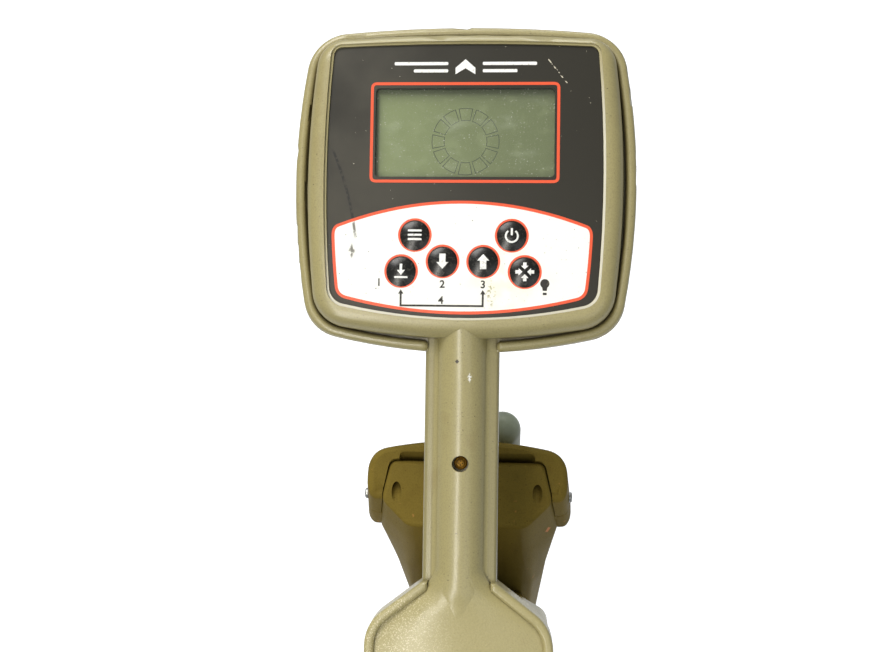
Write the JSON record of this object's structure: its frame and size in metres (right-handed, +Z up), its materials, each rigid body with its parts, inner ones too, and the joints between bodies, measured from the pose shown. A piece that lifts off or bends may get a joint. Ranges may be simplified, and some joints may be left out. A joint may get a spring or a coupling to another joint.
{
  "type": "drill tracking locator",
  "caption": "Walk-over locator for tracking a drill head: tilted screen and keypad on a grip with a battery pod, above a tall mast with a cross antenna and a flared foot.",
  "frame": {"origin": "on the floor, in the middle of the sole, under the mast", "axes": "+Z up the mast, +Y forward away from the operator, +X to the operator's right"},
  "size_m": [0.1596, 0.3204, 0.7542],
  "materials": {
    "housing_plastic": "fine-grained moulded tan plastic",
    "mast_plastic": "fine-grained moulded brown plastic",
    "panel_film": "printed film with a satin face",
    "screen_lens": "clear window",
    "lcd_glass": "grey-green reflective display",
    "circuit_board": "green solder mask",
    "black_parts": "black",
    "key_black": "glossy black dome",
    "seal_rubber": "matt black",
    "screw_steel": "plain",
    "screw_brass": "yellow passivated",
    "latch_black": "satin black",
    "cell_wrap": "plain sleeve",
    "ferrite": "sintered ferrite",
    "coil_copper": "enamelled copper wire",
    "stub_sheath": "dull olive-grey sheath"
  },
  "bodies": {
    "locator_body": {"top_shell": "housing_plastic", "head_back_cover": "housing_plastic", "grip_lower_shell": "housing_plastic", "battery_case": "housing_plastic", "strut": "mast_plastic", "rear_shell": "mast_plastic", "front_shell": "mast_plastic", "antenna_cap": "mast_plastic", "stub_holder": "mast_plastic", "foot_housing": "mast_plastic", "panel_sheet": "panel_film", "screen_lens": "screen_lens", "lcd_module": "lcd_glass", "display_board": "circuit_board", "main_board": "circuit_board", "key_switches": "black_parts", "beeper": "black_parts", "foot_plate": "black_parts", "head_gasket": "seal_rubber", "foot_sole": "seal_rubber", "head_screws": "screw_steel", "mast_screws": "screw_steel", "tongue_screws": "screw_steel", "cap_end_screws": "screw_steel", "foot_screws": "screw_steel", "door_hinge_pin": "screw_steel", "battery_contacts": "screw_steel", "grip_screw": "screw_brass", "stub_nut": "screw_brass", "battery_cells": "cell_wrap", "upper_antenna_rod": "ferrite", "lower_antenna_rod": "ferrite", "upper_antenna_coil": "coil_copper", "lower_antenna_coil": "coil_copper", "stub_antenna": "stub_sheath"},
    "key_mode": {"key_mode": "key_black"},
    "key_power": {"key_power": "key_black"},
    "key_down": {"key_down": "key_black"},
    "key_up": {"key_up": "key_black"},
    "key_depth": {"key_depth": "key_black"},
    "key_target": {"key_target": "key_black"},
    "battery_door": {"battery_door": "housing_plastic", "door_seal": "seal_rubber"},
    "door_latch": {"door_latch": "latch_black"}
  },
  "joints": [
    {"name": "key_mode_press", "type": "slide", "parent": "locator_body", "child": "key_mode", "axis": [0, 0.4226, -0.9063], "range_m": [0, 0.0006], "stiffness_N_per_m": 1200},
    {"name": "key_power_press", "type": "slide", "parent": "locator_body", "child": "key_power", "axis": [0, 0.4226, -0.9063], "range_m": [0, 0.0006], "stiffness_N_per_m": 1200},
    {"name": "key_down_press", "type": "slide", "parent": "locator_body", "child": "key_down", "axis": [0, 0.4226, -0.9063], "range_m": [0, 0.0006], "stiffness_N_per_m": 1200},
    {"name": "key_up_press", "type": "slide", "parent": "locator_body", "child": "key_up", "axis": [0, 0.4226, -0.9063], "range_m": [0, 0.0006], "stiffness_N_per_m": 1200},
    {"name": "key_depth_press", "type": "slide", "parent": "locator_body", "child": "key_depth", "axis": [0, 0.4226, -0.9063], "range_m": [0, 0.0006], "stiffness_N_per_m": 1200},
    {"name": "key_target_press", "type": "slide", "parent": "locator_body", "child": "key_target", "axis": [0, 0.4226, -0.9063], "range_m": [0, 0.0006], "stiffness_N_per_m": 1200},
    {"name": "battery_door_hinge", "type": "hinge", "parent": "locator_body", "child": "battery_door", "pos_m": [0, -0.10988, 0.52978], "axis": [1, 0, 0], "range_deg": [0, 105]},
    {"name": "door_latch_turn", "type": "hinge", "parent": "battery_door", "child": "door_latch", "pos_m": [0, -0.1384, 0.58621], "axis": [0, -0.9063, -0.4226], "range_deg": [0, 90]}
  ]
}
